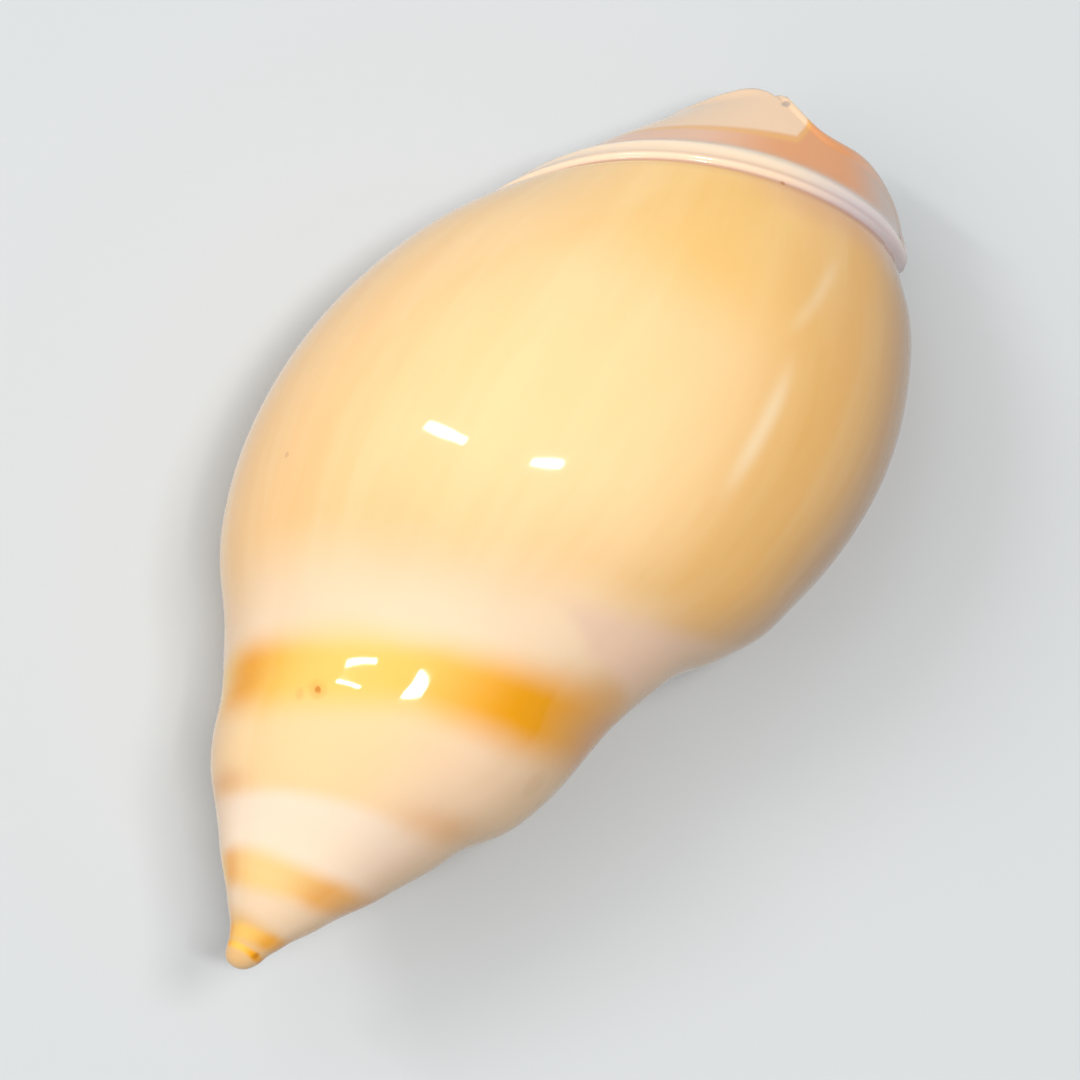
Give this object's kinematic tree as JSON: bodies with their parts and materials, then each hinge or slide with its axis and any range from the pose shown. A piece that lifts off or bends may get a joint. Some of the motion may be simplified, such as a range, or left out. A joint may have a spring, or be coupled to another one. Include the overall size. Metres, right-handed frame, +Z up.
{
  "type": "ancilla shell",
  "caption": "Smooth, glossy sea snail shell with a pointed, callus-covered spire, a swollen last turn and a long open mouth, lying mouth down.",
  "frame": {"origin": "on the surface that the shell rests on, below the centre of its bounding box", "axes": "+Z up as the shell rests mouth down, +Y along its length towards the open front end, +X towards the outer lip"},
  "size_m": [0.0326, 0.0584, 0.0278],
  "materials": {
    "shell": "glossy golden cream, with an orange band on the spire and fine lilac and white bands at the front"
  },
  "bodies": {
    "root": {"shell": "shell"}
  },
  "joints": []
}
